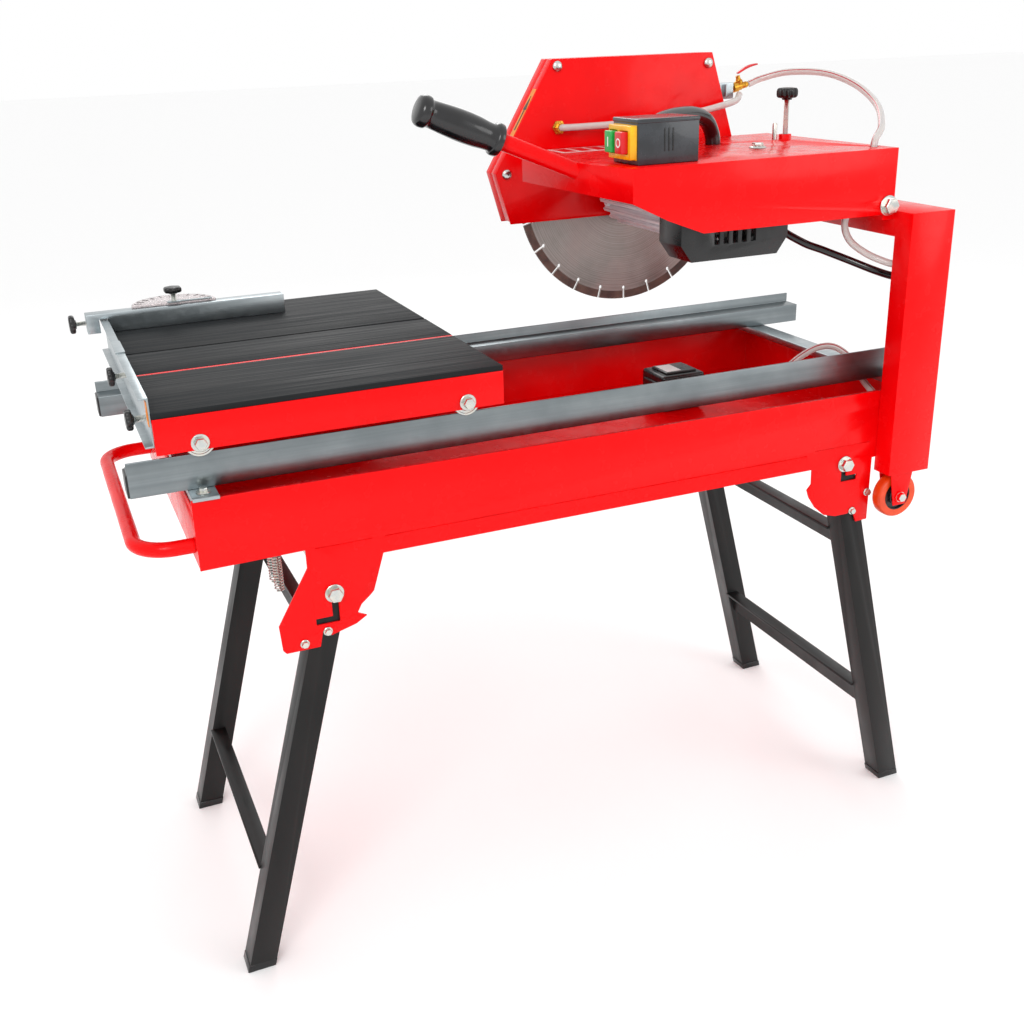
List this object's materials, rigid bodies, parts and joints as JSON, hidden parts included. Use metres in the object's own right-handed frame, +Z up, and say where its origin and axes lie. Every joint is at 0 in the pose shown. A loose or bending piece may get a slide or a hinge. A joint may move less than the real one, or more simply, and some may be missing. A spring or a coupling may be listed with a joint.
{
  "type": "tile cutter",
  "caption": "Table saw for tile and stone: motor arm with guarded diamond blade over a rolling carriage on rails, water tray, fence and folding legs.",
  "frame": {"origin": "middle of the footprint of the whole machine, on the floor", "axes": "+X along the rails towards the column, +Y away from the operator, +Z up"},
  "size_m": [1.2069, 0.612, 1.163],
  "materials": {
    "red_coat": "glossy powder coat",
    "black_coat": "satin powder coat",
    "galvanised": "zinc plated",
    "fastener": "bright zinc",
    "black_plastic": "moulded",
    "rubber": "ribbed",
    "polyurethane": "cast",
    "aluminium": "extruded",
    "steel": "ground",
    "grey_plastic": "moulded",
    "green_button": "moulded",
    "red_button": "moulded",
    "clear_vinyl": "extruded",
    "brass": "turned",
    "acrylic": "frosted"
  },
  "bodies": {
    "frame": {"tray_pan": "red_coat", "near_side_plate": "red_coat", "far_side_plate": "red_coat", "near_rail": "galvanised", "far_rail": "galvanised", "left_cross_bar": "galvanised", "right_cross_bar": "galvanised", "carry_handle": "red_coat", "column": "red_coat", "water_pump": "black_plastic", "pump_hose": "clear_vinyl", "power_cable": "black_plastic", "left_pivot_rod": "fastener", "right_pivot_rod": "fastener", "leg_spring_near": "galvanised", "leg_spring_far": "galvanised"},
    "left_legs": {"left_leg_frame": "black_coat", "left_near_foot": "black_plastic", "left_far_foot": "black_plastic"},
    "right_legs": {"right_leg_frame": "black_coat", "right_near_foot": "black_plastic", "right_far_foot": "black_plastic"},
    "near_wheel_turns": {"near_wheel": "polyurethane"},
    "far_wheel_turns": {"far_wheel": "polyurethane"},
    "carriage": {"table_frame": "red_coat", "near_pad": "rubber", "middle_pad": "rubber", "far_pad": "rubber", "side_bar": "galvanised"},
    "bar_knob_near": {"side_bar_near_knob": "black_plastic"},
    "bar_knob_far": {"side_bar_far_knob": "black_plastic"},
    "roller_nl": {"near_left_roller": "fastener"},
    "roller_nr": {"near_right_roller": "fastener"},
    "roller_fl": {"far_left_roller": "fastener"},
    "roller_fr": {"far_right_roller": "fastener"},
    "fence_group": {"fence": "galvanised", "angle_gauge": "acrylic"},
    "fence_knob": {"fence_clamp_knob": "black_plastic"},
    "pointer": {"gauge_pointer": "black_plastic"},
    "arm": {"arm_plate": "red_coat", "arm_hinge_bolt": "fastener", "handle_grip": "black_plastic", "motor_housing": "aluminium", "fan_cowl": "black_plastic", "guard_shell": "red_coat", "guard_cover": "red_coat", "switch_box": "grey_plastic", "switch_conduit": "black_plastic", "valve_body": "brass", "guard_hose": "clear_vinyl", "supply_hose": "clear_vinyl"},
    "depth_stop": {"depth_screw": "black_plastic"},
    "spindle": {"motor_shaft": "steel", "outer_flange": "steel", "blade": "steel"},
    "guard_knob_a": {"guard_upper_knob": "black_plastic"},
    "guard_knob_b": {"guard_lower_knob": "black_plastic"},
    "start": {"start_button": "green_button"},
    "stop": {"stop_button": "red_button"},
    "tap_lever": {"valve_lever": "red_button"}
  },
  "joints": [
    {"name": "left_leg_fold", "type": "hinge", "parent": "frame", "child": "left_legs", "pos_m": [-0.3615, -0.04, 0.552], "axis": [0, -1, 0], "range_deg": [0, 105.3], "deforming": ["leg_spring_near", "leg_spring_far"]},
    {"name": "right_leg_fold", "type": "hinge", "parent": "frame", "child": "right_legs", "pos_m": [0.418, -0.04, 0.594], "axis": [0, 1, 0], "range_deg": [0, 103.8]},
    {"name": "near_wheel_spin", "type": "hinge", "parent": "frame", "child": "near_wheel_turns", "pos_m": [0.5015, -0.285, 0.537], "axis": [0, 1, 0], "continuous": true},
    {"name": "far_wheel_spin", "type": "hinge", "parent": "frame", "child": "far_wheel_turns", "pos_m": [0.5015, 0.205, 0.537], "axis": [0, 1, 0], "continuous": true},
    {"name": "carriage_slide", "type": "slide", "parent": "frame", "child": "carriage", "axis": [1, 0, 0], "range_m": [-0.03, 0.66]},
    {"name": "roller_nl_spin", "type": "hinge", "parent": "carriage", "child": "roller_nl", "pos_m": [-0.4975, -0.23625, 0.7668], "axis": [0, 1, 0], "range_deg": [-130, 2700]},
    {"name": "roller_nr_spin", "type": "hinge", "parent": "carriage", "child": "roller_nr", "pos_m": [-0.1615, -0.23625, 0.7668], "axis": [0, 1, 0], "range_deg": [-130, 2700]},
    {"name": "roller_fl_spin", "type": "hinge", "parent": "carriage", "child": "roller_fl", "pos_m": [-0.4975, 0.15625, 0.7668], "axis": [0, 1, 0], "range_deg": [-130, 2700]},
    {"name": "roller_fr_spin", "type": "hinge", "parent": "carriage", "child": "roller_fr", "pos_m": [-0.1615, 0.15625, 0.7668], "axis": [0, 1, 0], "range_deg": [-130, 2700]},
    {"name": "bar_knob_near_turn", "type": "hinge", "parent": "carriage", "child": "bar_knob_near", "pos_m": [-0.5645, -0.208, 0.795], "axis": [1, 0, 0], "range_deg": [-180, 360]},
    {"name": "bar_knob_far_turn", "type": "hinge", "parent": "carriage", "child": "bar_knob_far", "pos_m": [-0.5645, 0.004, 0.795], "axis": [1, 0, 0], "range_deg": [-180, 360]},
    {"name": "fence_slide", "type": "slide", "parent": "carriage", "child": "fence_group", "axis": [0, 1, 0], "range_m": [-0.09, 0.04]},
    {"name": "fence_knob_turn", "type": "hinge", "parent": "fence_group", "child": "fence_knob", "pos_m": [-0.5645, 0.222, 0.824], "axis": [1, 0, 0], "range_deg": [-180, 360]},
    {"name": "pointer_swing", "type": "hinge", "parent": "fence_group", "child": "pointer", "pos_m": [-0.4505, 0.222, 0.8406], "axis": [0, 0, 1], "range_deg": [0, 180]},
    {"name": "arm_tilt", "type": "hinge", "parent": "frame", "child": "arm", "pos_m": [0.4595, -0.04, 0.964], "axis": [0, 1, 0], "range_deg": [0, 38], "deforming": ["supply_hose", "power_cable"]},
    {"name": "depth_screw_turn", "type": "hinge", "parent": "arm", "child": "depth_stop", "pos_m": [0.4255, -0.066, 1.05], "axis": [0, 0, 1], "range_deg": [-360, 360]},
    {"name": "blade_spin", "type": "hinge", "parent": "arm", "child": "spindle", "pos_m": [0.2205, 0.0585, 0.978], "axis": [0, 1, 0], "continuous": true},
    {"name": "guard_knob_upper_turn", "type": "hinge", "parent": "arm", "child": "guard_knob_a", "pos_m": [0.1115, 0.084, 1.152], "axis": [0, 1, 0], "range_deg": [-180, 360]},
    {"name": "guard_knob_lower_turn", "type": "hinge", "parent": "arm", "child": "guard_knob_b", "pos_m": [0.0215, 0.084, 1.008], "axis": [0, 1, 0], "range_deg": [-180, 360]},
    {"name": "start_press", "type": "slide", "parent": "arm", "child": "start", "axis": [1, 0, 0], "range_m": [0, 0.003], "stiffness_N_per_m": 800, "springref_m": -0.001},
    {"name": "stop_press", "type": "slide", "parent": "arm", "child": "stop", "axis": [1, 0, 0], "range_m": [0, 0.003], "stiffness_N_per_m": 800, "springref_m": -0.001},
    {"name": "tap_turn", "type": "hinge", "parent": "arm", "child": "tap_lever", "pos_m": [0.4193, 0.058, 1.13], "axis": [0.28, 0, -0.96], "range_deg": [0, 90]}
  ],
  "couplings": [
    {"joint": "roller_nl_spin", "follows": "carriage_slide", "rad_per_m": 67.568},
    {"joint": "roller_nr_spin", "follows": "carriage_slide", "rad_per_m": 67.568},
    {"joint": "roller_fl_spin", "follows": "carriage_slide", "rad_per_m": 67.568},
    {"joint": "roller_fr_spin", "follows": "carriage_slide", "rad_per_m": 67.568}
  ]
}
